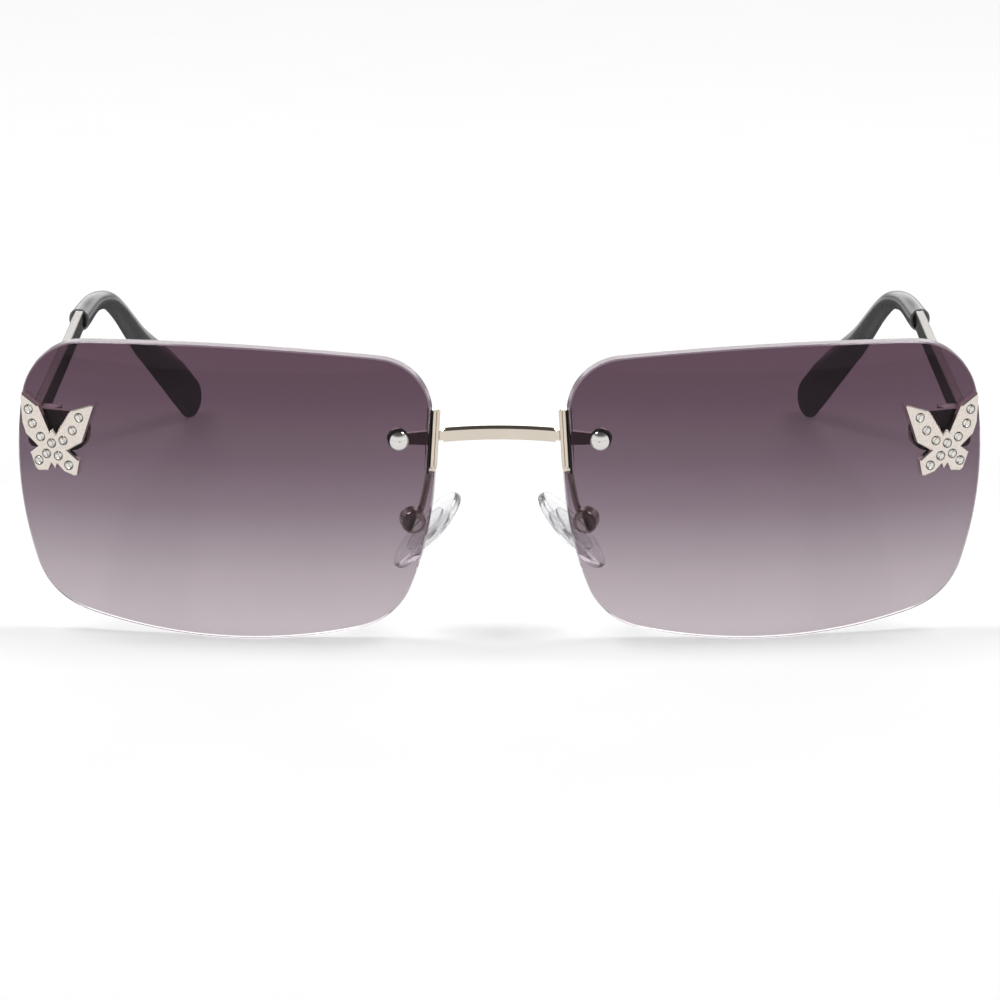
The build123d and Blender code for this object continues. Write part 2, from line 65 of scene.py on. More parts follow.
class Finish:
    """One socket of a material's nodes. A sum written with it adds that sum's Math nodes."""

    def __init__(self, tree, socket=None):
        self.tree = tree
        self.socket = socket

    def node(self, kind, settings, values, output=0):
        """Adds a node: its settings first, then the values and links of its sockets."""
        node = self.tree.nodes.new("ShaderNode" + kind)
        for name, value in settings.items():
            if name == "stops":
                while len(node.color_ramp.elements) < len(value):
                    node.color_ramp.elements.new(1.0)
                for element, (place, colour) in zip(node.color_ramp.elements, value):
                    element.position = place
                    element.color = (*colour, 1.0)
            else:
                setattr(node, name, value)
        for name, value in values.items():
            if isinstance(value, Finish):
                self.tree.links.new(value.socket, node.inputs[name])
            else:
                node.inputs[name].default_value = value
        return Finish(self.tree, node.outputs[output] if node.outputs else None)

    def also(self, output):
        """Another output of the same node."""
        return Finish(self.tree, self.socket.node.outputs[output])

    def worked(self, operation, first, second):
        """The Math node of an operation on two values."""
        return self.node("Math", {"operation": operation}, {0: first, 1: second})

    def __add__(self, other):
        return self.worked("ADD", self, other)

    def __radd__(self, other):
        return self.worked("ADD", other, self)

    def __sub__(self, other):
        return self.worked("SUBTRACT", self, other)

    def __rsub__(self, other):
        return self.worked("SUBTRACT", other, self)

    def __mul__(self, other):
        return self.worked("MULTIPLY", self, other)

    def __rmul__(self, other):
        return self.worked("MULTIPLY", other, self)

    def place(self):
        """Where a point is on the piece, in metres."""
        return self.node("TexCoord", {}, {}, "Object")

    def specks(self, size, detail=2.0, stretch=(1, 1, 1)):
        """Soft specks of about a size in metres, from 0 to 1."""
        scaled = self.node("Mapping", {}, {"Vector": self.place(), "Scale": stretch})
        return self.node("TexNoise", {}, {"Vector": scaled, "Scale": 1 / size, "Detail": detail})

    def between(self, share, first, second):
        """A colour that goes from the first to the second with a share."""
        first, second = (end if isinstance(end, Finish) else (*end, 1.0) for end in (first, second))
        return self.node(
            "Mix",
            {"data_type": "RGBA"},
            {"Factor": share, "A": first, "B": second},
            "Result",
        )

    def dents(self, height, depth):
        """A surface pressed in and out by a height from 0 to 1, over a depth in metres."""
        return self.node("Bump", {}, {"Height": height, "Distance": depth, "Strength": 1.0})


def made_finish(name, plain, varied):
    """A material: plain values stand on its shader, and varied ones come from its nodes."""
    material = bpy.data.materials.new(name)
    material.use_nodes = True
    tree = material.node_tree
    shader = tree.nodes["Principled BSDF"]
    for socket, value in plain.items():
        shader.inputs[socket].default_value = value
    for socket, finish in varied(Finish(tree)).items():
        tree.links.new(finish.socket, shader.inputs[socket])
    return material


def lens_tint(nodes):
    """Dye that fades down the lens, a little uneven as a dip leaves it."""
    height = nodes.node("SeparateXYZ", {}, {"Vector": nodes.place()}, "Z")
    wavering = height * (1 / lens_top) + (nodes.specks(dye_patch) - 0.5) * dye_waver
    return {"Base Color": nodes.node("ValToRGB", {"stops": tint_stops}, {"Fac": wavering}, "Color")}


tinted_plastic = made_finish(
    "tinted_lens_plastic",
    {
        "Transmission Weight": 1.0,
        "IOR": 1.5,
        "Roughness": 0.0,
        "Specular Tint": (0.42, 0.36, 0.40, 1.0),
    },
    lens_tint,
)
ground_rim = made_finish(
    "ground_lens_rim",
    {"IOR": 1.5, "Transmission Weight": 1.0, "Specular Tint": (0.46, 0.44, 0.45, 1.0)},
    lambda nodes: {
        "Base Color": nodes.between(nodes.specks(0.0011), (0.46, 0.455, 0.465), (0.58, 0.575, 0.585)),
        "Roughness": 0.12 + 0.06 * nodes.specks(0.0004),
    },
)


def rehung(node, name, body):
    """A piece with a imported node's own shape, which it stands for, ready for two finishes."""
    piece = bpy.data.objects.new(name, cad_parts[node].data.copy())
    bpy.context.scene.collection.objects.link(piece)
    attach(piece, body)
    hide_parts(node)
    return piece


for side, hand in sides.items():
    lens = rehung(f"{side}_lens", f"{side}_lens_dyed", "front")
    lens.data.materials.clear()
    lens.data.materials.append(tinted_plastic)
    lens.data.materials.append(ground_rim)
    level = cos(lens_tilt)
    facing = Vector((hand * sin(lens_wrap) * level, -cos(lens_wrap) * level, -sin(lens_tilt)))
    # A face that looks neither out of the lens's front nor out of its back belongs to the rim.
    for face in lens.data.polygons:
        face.material_index = int(abs(face.normal.dot(facing)) < rim_facing)

# Lens bushes. Clear nylon sleeves pressed into the drilled holes from behind, each with a
# flange at the back. They keep the screws and studs off the lens.
clear_nylon = made_finish(
    "clear_nylon",
    {"Transmission Weight": 0.9, "IOR": 1.5},
    lambda nodes: {
        "Base Color": nodes.between(nodes.specks(0.001), (0.84, 0.83, 0.82), (0.95, 0.95, 0.94)),
        "Roughness": 0.1 + 0.15 * nodes.specks(0.0006),
    },
)


def dress(node, material):
    """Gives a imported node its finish."""
    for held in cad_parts[node].material_slots:
        held.material = material


for side in sides:
    dress(f"{side}_lens_bushes", clear_nylon)

# Bridge. A cast alloy bar soldered between two straps, one in the notch of each lens. All
# three are polished, then plated a pale champagne.
champagne = ((0.63, 0.56, 0.48), (0.72, 0.65, 0.56))
cloud_size = 0.004
grain_depth = 0.000002
grain_dulling = 0.08


def champagne_plate(name, tones, polish, grain, stretch=(1, 1, 1)):
    """Champagne plating: clouded between two tones, and as glossy as its polish leaves it."""

    def plated(nodes):
        clouds = nodes.specks(cloud_size, 3.0)
        hairlines = nodes.specks(grain, 4.0, stretch)
        return {
            "Base Color": nodes.between(clouds, *tones),
            "Roughness": polish + grain_dulling * hairlines,
            "Normal": nodes.dents(hairlines, grain_depth),
        }

    return made_finish(name, {"Metallic": 1.0}, plated)


bridge_plating = champagne_plate(
    "bridge_plating", champagne, polish=0.05, grain=0.0004, stretch=(0.3, 1, 1)
)
dress("bridge_bar", bridge_plating)
for side in sides:
    dress(f"{side}_bridge_strap", bridge_plating)

# Strap trim. Two polished rods side by side make each strap's rib. Beside them are a thin black
# strip of painted shade, in the gap where the strap sits in the lens's notch, and the notch's clear
# polished lip. All are laid out on the left strap, and mirrored for the right one.
strap_middle = (0.0097291, -0.0722006, 0.0315816)
strap_across = (0.98186, -0.17951, 0.06104)
strap_front = (-0.18054, -0.98350, 0.01177)
rod_radius = 0.00027
rod_places = (-0.00029, 0.00023)
rod_foot = -0.00360
rod_top = 0.00482
rod_rise = 0.00034
# The black strip in the gap of the notch is painted shade.
shade_strip_radius = 0.00019
shade_strip_place = 0.00066
shade_strip_rise = -0.00058
lip_radius = 0.00009
lip_place = 0.00098
lip_foot = 0.00130
lip_rise = 0.00004
rod_rings = 10
rod_spokes = 32
rod_end_share = 0.02

# Near-black finish of the notch strip: painted shade for the shadowed gap.
notch_painted_shade = made_finish(
    "notch_painted_shade",
    {"IOR": 1.45},
    lambda nodes: {
        "Base Color": nodes.between(nodes.specks(0.0006), (0.010, 0.007, 0.008), (0.022, 0.016, 0.018)),
        "Roughness": 0.3 + 0.15 * nodes.specks(0.0004),
    },
)


def piece_from(mesh, name, body, material, smooth=True):
    """Turns a drawn mesh into a piece that rides on a body."""
    bmesh.ops.recalc_face_normals(mesh, faces=mesh.faces)
    data = bpy.data.meshes.new(name)
    mesh.to_mesh(data)
    mesh.free()
    data.polygons.foreach_set("use_smooth", [smooth] * len(data.polygons))
    data.materials.append(material)
    piece = bpy.data.objects.new(name, data)
    bpy.context.scene.collection.objects.link(piece)
    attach(piece, body)
    return piece


def strap_seat(hand):
    """The strap's own directions: across it, up it and out of its front."""
    across, front = Vector(strap_across), Vector(strap_front)
    upright = front.cross(across)
    seat = Matrix((across, upright, front)).transposed().to_4x4()
    seat.translation = Vector(strap_middle)
    return Matrix.Scale(hand, 4, (1, 0, 0)) @ seat


def round_rod(mesh, seat, across, foot, top, radius, rise):
    """A rod that lies on the strap, with both ends rounded."""
    loops = []
    for end, turn_from in ((foot, -pi / 2), (top, 0)):
        for ring in range(rod_rings + 1):
            turn = turn_from + pi / 2 * ring / rod_rings
            reach, ahead = radius * max(cos(turn), rod_end_share), end + radius * sin(turn)
            corners = []
            for spoke in range(rod_spokes):
                aside = across + reach * cos(tau * spoke / rod_spokes)
                above = rise + reach * sin(tau * spoke / rod_spokes)
                corners.append(mesh.verts.new(seat @ Vector((aside, ahead, above))))
            loops.append(corners)
    mesh.faces.new(loops[0])
    mesh.faces.new(loops[-1])
    for near, far in zip(loops, loops[1:]):
        for spoke in range(rod_spokes):
            after = (spoke + 1) % rod_spokes
            mesh.faces.new((near[spoke], near[after], far[after], far[spoke]))


rods = [(place, rod_foot, rod_top, rod_radius, rod_rise) for place in rod_places]
shade_strip = (shade_strip_place, -rod_top, rod_top - shade_strip_radius, shade_strip_radius, shade_strip_rise)
lip = (lip_place, lip_foot, rod_top, lip_radius, lip_rise)
strap_trim = {
    "strap_rods": (rods, "champagne_metal", bridge_plating),
    "notch_shade_strip": ([shade_strip], "black_plastic", notch_painted_shade),
    "notch_lip": ([lip], "clear_plastic", clear_nylon),
}
for side, hand in sides.items():
    for name, (lines, slot, material) in strap_trim.items():
        mesh = bmesh.new()
        for line in lines:
            round_rod(mesh, strap_seat(hand), *line)
        piece_from(mesh, f"{side}_{name}", "front", material)

# Bridge screws and nuts. Turned steel screws with domed heads on the front of the lenses,
# each held behind its strap's tab by a six-sided nut.
turned_steel = made_finish(
    "turned_steel",
    {"Metallic": 1.0},
    lambda nodes: {
        "Base Color": nodes.between(nodes.specks(0.002), (0.66, 0.64, 0.62), (0.76, 0.74, 0.72)),
        "Roughness": 0.05 + 0.08 * nodes.specks(0.0003),
    },
)
for side in sides:
    dress(f"{side}_bridge_screw", turned_steel)
    dress(f"{side}_bridge_nut", turned_steel)

# Pad arms, boxes and screws. Bent plated wire soldered to the strap, with a small round
# box at its end that grips the pad's stem on a slotted screw.
dull_champagne = ((0.40, 0.355, 0.305), (0.48, 0.43, 0.37))
wire_plating = champagne_plate("wire_plating", dull_champagne, polish=0.08, grain=0.0006)
for side in sides:
    dress(f"{side}_pad_arm", wire_plating)
    dress(f"{side}_pad_box", wire_plating)
    dress(f"{side}_pad_screw", turned_steel)

# Nose pads. Clear silicone ovals moulded round a stiff clear insert, whose stem sits in
# the pad box. Both faces are a little crowned, and the edge is fully round.
pad_middle = (0.0110, -0.06395, 0.01585)
pad_lean = radians(42)
pad_splay = radians(18)
pad_half_length = 0.0073
pad_half_width = 0.0037
pad_half_thickness = 0.00095
pad_squareness = 3.2
pad_rings = 28
pad_spokes = 96
pad_ripple_depth = 0.00003
insert_ripple_depth = 0.00004

pad_silicone = made_finish(
    "clear_silicone_moulding",
    {"Transmission Weight": 0.92, "IOR": 1.38},
    lambda nodes: {
        "Base Color": nodes.between(nodes.specks(0.002), (0.93, 0.93, 0.95), (0.99, 0.99, 1.0)),
        "Roughness": 0.05 + 0.10 * nodes.specks(0.0012, 3.0),
        "Normal": nodes.dents(nodes.specks(0.0012, 3.0), pad_ripple_depth),
    },
)
insert_plastic = made_finish(
    "clear_insert_plastic",
    {"Transmission Weight": 0.92, "IOR": 1.36},
    lambda nodes: {
        "Base Color": nodes.between(nodes.specks(0.0015), (0.90, 0.90, 0.92), (0.98, 0.98, 0.99)),
        "Roughness": 0.06 + 0.10 * nodes.specks(0.0008),
        "Normal": nodes.dents(nodes.specks(0.0007, stretch=(1, 5, 1)), insert_ripple_depth),
    },
)


def moulded_pad(hand):
    """The pad's skin: rings from the middle of one face, over the edge, to the middle of the other."""
    flat = cos(pad_lean)
    along = Vector((-sin(pad_lean) * hand, 0, flat))
    out = Vector((-flat * cos(pad_splay) * hand, sin(pad_splay), -sin(pad_lean) * cos(pad_splay)))
    across = out.cross(along)
    middle = Vector((pad_middle[0] * hand, pad_middle[1], pad_middle[2]))
    mesh = bmesh.new()
    poles = [mesh.verts.new(middle + out * (up * pad_half_thickness)) for up in (1, -1)]
    rings = []
    for step in range(1, pad_rings):
        slope = pi * step / pad_rings
        reach = abs(sin(slope)) ** (2 / pad_squareness)
        rise = abs(cos(slope)) ** (2 / pad_squareness) * (1 if slope < pi / 2 else -1)
        rings.append([
            mesh.verts.new(
                middle
                + along * (pad_half_length * reach * cos(tau * spoke / pad_spokes))
                + across * (pad_half_width * reach * sin(tau * spoke / pad_spokes))
                + out * (pad_half_thickness * rise)
            )
            for spoke in range(pad_spokes)
        ])
    for spoke in range(pad_spokes):
        after = (spoke + 1) % pad_spokes
        mesh.faces.new((poles[0], rings[0][spoke], rings[0][after]))
        mesh.faces.new((poles[1], rings[-1][after], rings[-1][spoke]))
        for near, far in zip(rings, rings[1:]):
            mesh.faces.new((near[spoke], far[spoke], far[after], near[after]))
    return mesh


for side, hand in sides.items():
    pad = piece_from(
        moulded_pad(hand), f"{side}_pad_moulding", f"{side}_pad_body", pad_silicone
    )
    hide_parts(f"{side}_nose_pad")
    dress(f"{side}_pad_insert", insert_plastic)

# Butterflies. Stamped plates with a bevelled edge, plated champagne over a finely sanded face,
# with two studs that pass through the lens and take a nut each behind the end piece.
sand_size = 0.00026
sand_depth = 0.000006
butterfly_plating = made_finish(
    "butterfly_plating",
    {"Metallic": 1.0},
    lambda nodes: {
        "Base Color": nodes.between(nodes.specks(sand_size), (0.57, 0.52, 0.475), (0.90, 0.825, 0.755)),
        "Roughness": 0.14 + 0.12 * nodes.specks(sand_size),
        "Normal": nodes.dents(nodes.specks(sand_size), sand_depth),
    },
)
for side in sides:
    dress(f"{side}_butterfly", butterfly_plating)
    dress(f"{side}_butterfly_nuts", turned_steel)

# Stones. Round facetted glass with a foil back, eleven to a butterfly, glued into pockets. A thin
# dark ring round each stone, in the gap to its pocket's wall, is painted shade.
stone_radius = 0.00068
stone_sides = 8
stone_table_share = 0.56
stone_middle_share = 0.80
stone_girdle = 0.00024
stone_height = 0.00052
stone_turn = 2.4
foil_share = 0.94
foil_depth = 0.00020
foil_waist_share = 0.5
foil_waist_depth_share = 0.45
foil_point_depth_share = 0.08
foil_back_depth_share = 0.04
# Size of the dark ring round each stone, painted shade in its gap.
gap_shade_radius = 0.000745
gap_shade_low = 0.00002
gap_shade_high = 0.00027
gap_shade_inner_share = 1.01
gap_shade_edge_share = 0.9
gap_shade_spokes = 32
weld_distance = 1e-6

stone_glass = made_finish(
    "stone_glass",
    {"Transmission Weight": 1.0, "IOR": 1.56, "Roughness": 0.0},
    lambda nodes: {
        "Base Color": nodes.between(nodes.specks(0.0009), (0.93, 0.93, 0.95), (0.99, 0.99, 1.0)),
    },
)
stone_foil = made_finish(
    "stone_foil",
    {"Metallic": 1.0},
    lambda nodes: {
        "Base Color": nodes.between(nodes.specks(0.0007), (0.62, 0.59, 0.54), (0.93, 0.90, 0.85)),
        "Roughness": 0.03 + 0.06 * nodes.specks(0.0004),
    },
)
# Near-black finish of the ring round each stone: painted shade in the gap.
setting_glue = made_finish(
    "setting_glue",
    {"IOR": 1.5},
    lambda nodes: {
        "Base Color": nodes.between(nodes.specks(0.0003), (0.05, 0.042, 0.036), (0.11, 0.095, 0.082)),
        "Roughness": 0.35 + 0.2 * nodes.specks(0.0002),
    },
)


def stone_seats(node):
    """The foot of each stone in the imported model, and the way that the stones face."""
    mesh = bmesh.new()
    mesh.from_mesh(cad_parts[node].data)
    bmesh.ops.remove_doubles(mesh, verts=mesh.verts, dist=weld_distance)
    unseen = set(mesh.verts)
    stones = []
    while unseen:
        found, waiting = [], [unseen.pop()]
        while waiting:
            corner = waiting.pop()
            found.append(corner.co.copy())
            for edge in corner.link_edges:
                other = edge.other_vert(corner)
                if other in unseen:
                    unseen.discard(other)
                    waiting.append(other)
        stones.append(np.array(found))
    mesh.free()
    middles = np.array([(stone.min(0) + stone.max(0)) / 2 for stone in stones])
    facing = np.linalg.svd(middles - middles.mean(0))[2][2]
    facing = facing * (-1 if facing[1] > 0 else 1)
    feet = [
        Vector(stone.mean(0) + facing * (min(stone @ facing) - stone.mean(0) @ facing))
        for stone in stones
    ]
    return sorted(feet, key=lambda foot: (round(foot.z, 5), round(abs(foot.x), 5))), Vector(facing)


def ring_of(mesh, at, count, reach, height, turn=0.0):
    """Corners on a circle round a stone's axis, at a height over its foot."""
    turns = [turn + tau * corner / count for corner in range(count)]
    return [mesh.verts.new(at @ Vector((reach * cos(way), reach * sin(way), height))) for way in turns]


def cut_stone(mesh, at):
    """A brilliant's crown: table, stars, kites and girdle facets, on a flat foot."""
    slope = (stone_height - stone_girdle) / (1 - stone_table_share)
    step = tau / stone_sides
    middle_height = stone_height - slope * (stone_middle_share * cos(step / 2) - stone_table_share)
    table = ring_of(mesh, at, stone_sides, stone_radius * stone_table_share, stone_height)
    middle = ring_of(mesh, at, stone_sides, stone_radius * stone_middle_share, middle_height, step / 2)
    girdle = ring_of(mesh, at, 2 * stone_sides, stone_radius, stone_girdle)
    foot = ring_of(mesh, at, 2 * stone_sides, stone_radius, 0.0)
    mesh.faces.new(table)
    mesh.faces.new(foot[::-1])
    for facet in range(stone_sides):
        after = (facet + 1) % stone_sides
        mesh.faces.new((table[facet], middle[facet], table[after]))
        mesh.faces.new((table[facet], middle[facet - 1], girdle[2 * facet], middle[facet]))
        mesh.faces.new((middle[facet], girdle[2 * facet], girdle[2 * facet + 1]))
        mesh.faces.new((middle[facet], girdle[2 * facet + 1], girdle[2 * after]))
    for corner in range(2 * stone_sides):
        after = (corner + 1) % (2 * stone_sides)
        mesh.faces.new((girdle[corner], foot[corner], foot[after], girdle[after]))


def foil_cup(mesh, at):
    """The foil: a shallow facetted cup inside the foot of the stone."""
    step = tau / stone_sides
    rim = ring_of(mesh, at, 2 * stone_sides, stone_radius * foil_share, foil_depth)
    waist = ring_of(
        mesh, at, stone_sides, stone_radius * foil_waist_share, foil_depth * foil_waist_depth_share, step / 4
    )
    point = mesh.verts.new(at @ Vector((0, 0, foil_depth * foil_point_depth_share)))
    back = mesh.verts.new(at @ Vector((0, 0, foil_depth * foil_back_depth_share)))
    for facet in range(stone_sides):
        after = (facet + 1) % stone_sides
        mesh.faces.new((point, waist[facet], waist[after]))
        mesh.faces.new((waist[facet], rim[2 * facet], rim[2 * facet + 1]))
        mesh.faces.new((waist[facet], rim[2 * facet + 1], waist[after]))
        mesh.faces.new((waist[after], rim[2 * facet + 1], rim[2 * after]))
    for corner in range(2 * stone_sides):
        after = (corner + 1) % (2 * stone_sides)
        mesh.faces.new((back, rim[after], rim[corner]))


def gap_shade_ring(mesh, at):
    """A dark ring of painted shade between a stone and its pocket's wall."""
    loops = [
        ring_of(mesh, at, gap_shade_spokes, reach, height)
        for reach, height in (
            (stone_radius * gap_shade_inner_share, gap_shade_low),
            (stone_radius * gap_shade_inner_share, gap_shade_high),
            (gap_shade_radius, gap_shade_high * gap_shade_edge_share),
            (gap_shade_radius, gap_shade_low),
        )
    ]
    for near, far in zip(loops, loops[1:] + loops[:1]):
        for spoke in range(gap_shade_spokes):
            after = (spoke + 1) % gap_shade_spokes
            mesh.faces.new((near[spoke], near[after], far[after], far[spoke]))


stone_parts = {
    "stones": (cut_stone, stone_glass),
    "foils": (foil_cup, stone_foil),
    "glue": (gap_shade_ring, setting_glue),
}
for side in sides:
    feet, facing = stone_seats(f"{side}_butterfly_stones")
    for what, (draw, material) in stone_parts.items():
        mesh = bmesh.new()
        for turn, foot in enumerate(feet):
            at = Matrix.Translation(foot) @ facing.to_track_quat("Z", "Y").to_matrix().to_4x4()
            draw(mesh, at @ Matrix.Rotation(stone_turn * turn, 4, "Z"))
        piece = piece_from(mesh, f"{side}_set_{what}", "front", material, smooth=False)
        if what == "stones":
            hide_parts(f"{side}_butterfly_stones")

# End pieces and hinges. Stamped plates behind the lenses, with an arm that carries the hinge's
# two ears. The temple's tongue turns between them on a slotted screw.
# Their plating gets tones far darker than the bridge's champagne, as painted shade for these parts behind
# the lenses.
shade_dark_champagne = ((0.26, 0.225, 0.195), (0.34, 0.30, 0.26))
shaded_hinge_plating = champagne_plate("shaded_hinge_plating", shade_dark_champagne, polish=0.10, grain=0.0005)
for side in sides:
    for what in ("end_piece", "front_hinge", "temple_hinge"):
        dress(f"{side}_{what}", shaded_hinge_plating)
    dress(f"{side}_hinge_screw", turned_steel)

# Temples. Flat drawn blades, polished along their length, that taper to a round core
# inside the ear tip.
blade_champagne = ((0.44, 0.415, 0.385), (0.54, 0.51, 0.475))
blade_plating = champagne_plate(
    "blade_plating", blade_champagne, polish=0.16, grain=0.0004, stretch=(1, 0.06, 1)
)
for side in sides:
    dress(f"{side}_temple", blade_plating)

# Ear tips. Black plastic sleeves with a soft shine, moulded, pushed over the temple's core
# and bent down behind the ear.
tip_route = (
    (0.06990, 0.02105, 0.02900),
    (0.06800, 0.02899, 0.03019),
    (0.06570, 0.03599, 0.02849),
    (0.06167, 0.04930, 0.01859),
    (0.05808, 0.05921, 0.01147),
    (0.05480, 0.07035, 0.00360),
)
tip_width_shares = (1.03, 0.93, 0.88, 0.88, 0.90, 0.93, 0.97, 1.0, 1.0)
tip_height_shares = (0.54, 0.45, 0.42, 0.46, 0.57, 0.74, 0.92, 1.0, 1.0)
tip_half_width = 0.0017
tip_half_height = 0.0036
tip_steps = 72
tip_end_steps = 16
tip_end_roundness = 0.7
tip_spokes = 64
tip_squareness = 2.15
tip_crease = radians(40)
mouth_lip = 0.00035
mouth_wall = 0.00022
mouth_depth = 0.0016
mouth_round_share = 0.6

tip_plastic = made_finish(
    "black_tip_plastic",
    {"IOR": 1.54, "Coat Roughness": 0.16},
    lambda nodes: {
        "Base Color": nodes.between(nodes.specks(0.003), (0.062, 0.062, 0.063), (0.078, 0.078, 0.079)),
        "Roughness": 0.24 + 0.1 * nodes.specks(0.0012, 3.0),
        "Coat Weight": 0.3 + 0.2 * nodes.specks(0.006),
    },
)


def smooth_route(points, share):
    """Place and heading on a smooth line through the points, at a share of its length."""
    points = [np.array(point) for point in points]
    runs = [np.linalg.norm(far - near) for near, far in zip(points, points[1:])]
    reach = np.concatenate(([0], np.cumsum(runs)))
    at = share * reach[-1]
    span = min(max(int(np.searchsorted(reach, at, "right")) - 1, 0), len(points) - 2)

    def slope(corner):
        before, after = max(corner - 1, 0), min(corner + 1, len(points) - 1)
        return (points[after] - points[before]) / (reach[after] - reach[before])

    length = reach[span + 1] - reach[span]
    part = (at - reach[span]) / length
    near, far = points[span], points[span + 1]
    leaving, coming = slope(span) * length, slope(span + 1) * length
    place = (
        near * (2 * part**3 - 3 * part**2 + 1) + leaving * (part**3 - 2 * part**2 + part)
        + far * (3 * part**2 - 2 * part**3) + coming * (part**3 - part**2)
    )
    heading = (
        near * (6 * part**2 - 6 * part) + leaving * (3 * part**2 - 4 * part + 1)
        + far * (6 * part - 6 * part**2) + coming * (3 * part**2 - 2 * part)
    )
    return Vector(place), Vector(heading).normalized()


def tip_loop(mesh, place, heading, half_width, half_height):
    """A rounded, slightly square section across the tip."""
    level = heading.cross(Vector((0, 0, 1))).normalized()
    upright = level.cross(heading)
    corners = []
    for spoke in range(tip_spokes):
        turn = tau * spoke / tip_spokes
        across = abs(cos(turn)) ** (2 / tip_squareness) * (1 if cos(turn) > 0 else -1)
        up = abs(sin(turn)) ** (2 / tip_squareness) * (1 if sin(turn) > 0 else -1)
        corners.append(mesh.verts.new(place + level * (half_width * across) + upright * (half_height * up)))
    return corners


def tip_skin(hand):
    """The sleeve: a hollow mouth, the length of the tip, and a round end."""
    mesh = bmesh.new()
    places = [(x * hand, y, z) for x, y, z in tip_route]
    steps = np.linspace(0, 1, len(tip_width_shares))
    mouth, ahead = smooth_route(places, 0)
    mouth = mouth - ahead * mouth_lip
    wide, high = tip_half_width * tip_width_shares[0], tip_half_height * tip_height_shares[0]
    round_wall = mouth_wall * mouth_round_share
    loops = [
        tip_loop(mesh, mouth + ahead * mouth_depth, ahead, wide - mouth_wall * 2, high - mouth_wall),
        tip_loop(mesh, mouth, ahead, wide - mouth_wall * 2, high - mouth_wall),
        tip_loop(mesh, mouth, ahead, wide - round_wall, high - round_wall),
        tip_loop(mesh, mouth + ahead * round_wall, ahead, wide, high),
    ]
    mesh.faces.new(loops[0])
    for step in range(1, tip_steps + 1):
        share = step / tip_steps
        place, heading = smooth_route(places, share)
        loops.append(tip_loop(
            mesh, place, heading,
            tip_half_width * np.interp(share, steps, tip_width_shares),
            tip_half_height * np.interp(share, steps, tip_height_shares),
        ))
    foot, heading = smooth_route(places, 1)
    for step in range(1, tip_end_steps):
        turn = pi / 2 * step / tip_end_steps
        loops.append(tip_loop(
            mesh, foot + heading * (tip_half_height * sin(turn)), heading,
            tip_half_width * cos(turn) ** tip_end_roundness, tip_half_height * cos(turn),
        ))
    end = mesh.verts.new(foot + heading * tip_half_height)
    for spoke in range(tip_spokes):
        after = (spoke + 1) % tip_spokes
        for near, far in zip(loops, loops[1:]):
            mesh.faces.new((near[spoke], near[after], far[after], far[spoke]))
        mesh.faces.new((loops[-1][spoke], loops[-1][after], end))
    return mesh


for side, hand in sides.items():
    tip = piece_from(
        tip_skin(hand), f"{side}_ear_sleeve", f"{side}_temple_body", tip_plastic
    )
    tip.data.set_sharp_from_angle(angle=tip_crease)
    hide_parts(f"{side}_temple_tip")

# Table. White paper that runs back without an edge. It glows in part where the camera, a gloss
# or a glass sees it, so that it stays white and still keeps the shadow of the glasses.
table_size = (8.0, 8.0)
table_drop = 0.00002
paper_glow_share = 0.5


def stage_sheet(name, material, size, place):
    """A flat sheet of the studio, which is not part of the object."""
    mesh = bmesh.new()
    bmesh.ops.create_grid(mesh, x_segments=8, y_segments=8, size=0.5)
    bmesh.ops.scale(mesh, verts=mesh.verts, vec=(*size, 1))
    data = bpy.data.meshes.new(name)
    mesh.to_mesh(data)
    mesh.free()
    data.materials.append(material)
    sheet = bpy.data.objects.new(name, data)
    sheet.location = place
    bpy.context.scene.collection.objects.link(sheet)
    return sheet


paper = bpy.data.materials.new("white_paper")
paper.use_nodes = True
paper.node_tree.nodes.clear()
sheet_nodes = Finish(paper.node_tree)
paper_glow = sheet_nodes.node("Emission", {}, {"Color": (1, 1, 1, 1), "Strength": 1.0})
paper_tone = sheet_nodes.between(sheet_nodes.specks(0.02, 4.0), (0.86, 0.86, 0.86), (0.90, 0.90, 0.90))
paper_face = sheet_nodes.node("BsdfDiffuse", {}, {"Color": paper_tone})
by_camera = sheet_nodes.node("LightPath", {}, {}, "Is Camera Ray")
by_eye = by_camera + by_camera.also("Is Glossy Ray") + by_camera.also("Is Transmission Ray")
glow_share = sheet_nodes.worked("MINIMUM", by_eye, 1.0) * paper_glow_share
paper_seen = sheet_nodes.node("MixShader", {}, {0: glow_share, 1: paper_face, 2: paper_glow})
sheet_nodes.node("OutputMaterial", {}, {"Surface": paper_seen})
stage_sheet("table_paper", paper, table_size, (0, 0, -table_drop))

# Studio walls. The camera sees plain white, also through the lenses. A gloss sees white walls
# under a dim ceiling, greyer low down behind the glasses. Their own light is an even soft grey.
room_tone = (0.38, 0.38, 0.38)
front_wall_foot = 0.18
gloss_tones = ((0.0, 0.4), (0.1, 0.5), (front_wall_foot, 1.0), (0.45, 1.0), (0.72, 0.16), (1.0, 0.08))
gloss_stops = tuple((place, (tone, tone, tone)) for place, tone in gloss_tones)

world = bpy.data.worlds.new("studio_walls")
bpy.context.scene.world = world
world.use_nodes = True
world.node_tree.nodes.clear()
walls = Finish(world.node_tree)
height = walls.node("SeparateXYZ", {}, {"Vector": walls.node("TexCoord", {}, {}, "Generated")}, "Z")
in_front = walls.worked("LESS_THAN", height.also("Y"), 0.0)
wall_height = walls.worked("MAXIMUM", height, in_front * front_wall_foot)
in_gloss_tone = walls.node("ValToRGB", {"stops": gloss_stops}, {"Fac": wall_height}, "Color")
by_camera = walls.node("LightPath", {}, {}, "Is Camera Ray")
seen_plain = walls.worked("MINIMUM", by_camera + by_camera.also("Is Transmission Ray"), 1.0)
room = walls.between(by_camera.also("Is Glossy Ray"), room_tone, in_gloss_tone)
wall_colour = walls.between(seen_plain, room, (1.0, 1.0, 1.0))
wall_light = walls.node("Background", {}, {"Color": wall_colour, "Strength": 1.0})
walls.node("OutputWorld", {}, {"Surface": wall_light})

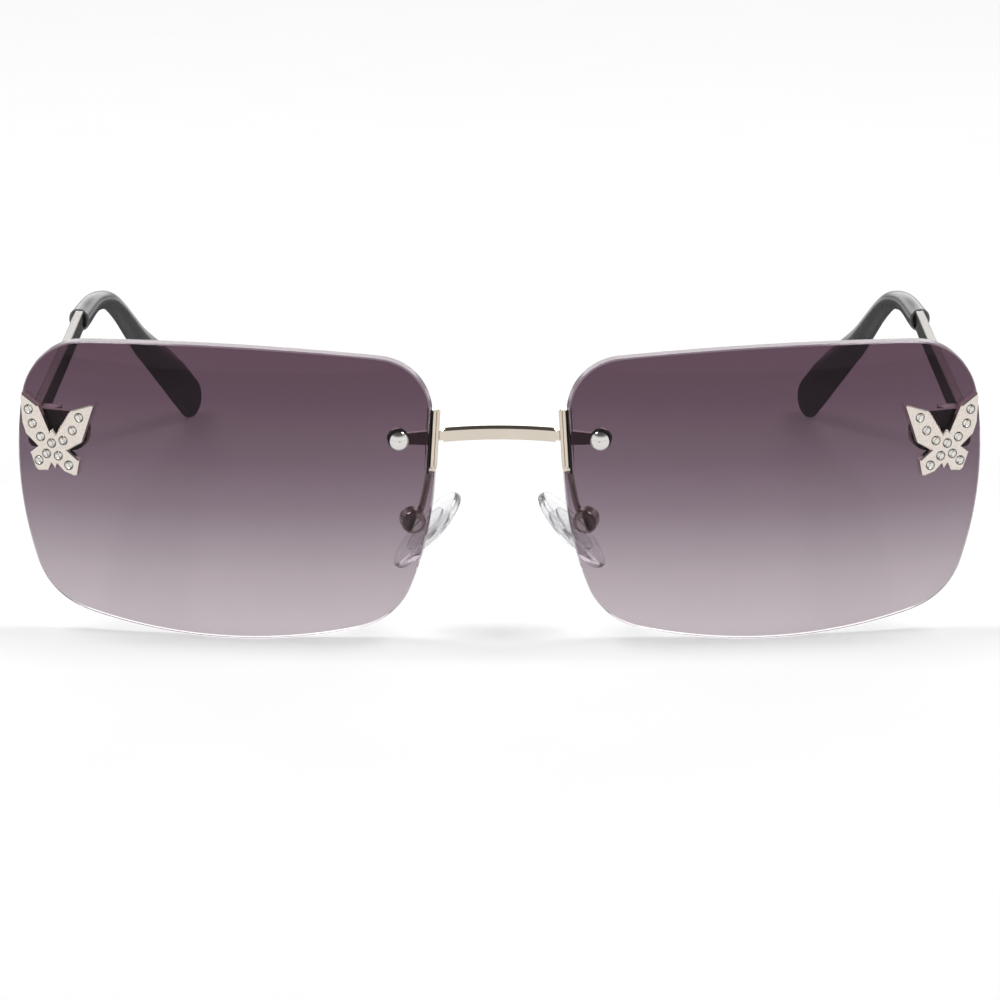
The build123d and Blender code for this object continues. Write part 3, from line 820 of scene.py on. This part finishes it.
# Lamps. A long soft box over the back of the table and a square one over each side, all
# turned to the middle of the glasses.
lamp_aim = Vector((0, 0, 0.02))
soft_boxes = {
    "back_box": ((0.0, 1.30, 0.62), (2.2, 0.65), 6.5),
    "left_box": ((0.42, -0.02, 0.80), (0.30, 0.30), 3.6),
    "right_box": ((-0.42, -0.02, 0.80), (0.30, 0.30), 3.6),
}
for name, (place, size, watts) in soft_boxes.items():
    lamp = bpy.data.lights.new(name, "AREA")
    lamp.shape = "RECTANGLE"
    lamp.size, lamp.size_y = size
    lamp.energy = watts
    box = bpy.data.objects.new(name, lamp)
    box.location = place
    box.rotation_mode = "QUATERNION"
    box.rotation_quaternion = (lamp_aim - Vector(place)).to_track_quat("-Z", "Y")
    box.visible_camera = False
    bpy.context.scene.collection.objects.link(box)

# Dark flag. A strip of black cloth on the table behind the lenses. Only a gloss sees it, and
# it gives the polished metal its dark lines.
flag_size = (0.36, 0.14)
flag_place = (0, 0.115, 0.0002)

black_cloth = made_finish(
    "black_cloth",
    {"Roughness": 1.0},
    lambda nodes: {"Base Color": nodes.between(nodes.specks(0.004), (0.01, 0.01, 0.01), (0.02, 0.02, 0.02))},
)
flag = stage_sheet("dark_flag", black_cloth, flag_size, flag_place)
flag.visible_camera = flag.visible_diffuse = flag.visible_transmission = flag.visible_shadow = False

# Camera. It stands in front of the glasses and a little above them, with a long lens, and is
# shifted slightly so that they lie in the frame as they do in the photograph.
camera_place = Vector((0, -0.84618, 0.22775))
camera_aim = Vector((0, -0.0729, 0.02272))
camera_lens = bpy.data.cameras.new("camera")
camera_lens.sensor_width = 36.0
camera_lens.lens = 192.25
camera_lens.shift_x = 0.0005
camera_lens.shift_y = 0.0005
camera_lens.clip_start = 0.01
camera_lens.clip_end = 50.0
camera = bpy.data.objects.new("camera", camera_lens)
camera.location = camera_place
camera.rotation_mode = "QUATERNION"
camera.rotation_quaternion = (camera_aim - camera_place).to_track_quat("-Z", "Y")
bpy.context.scene.collection.objects.link(camera)
bpy.context.scene.camera = camera
bpy.context.scene.view_settings.view_transform = "Standard"
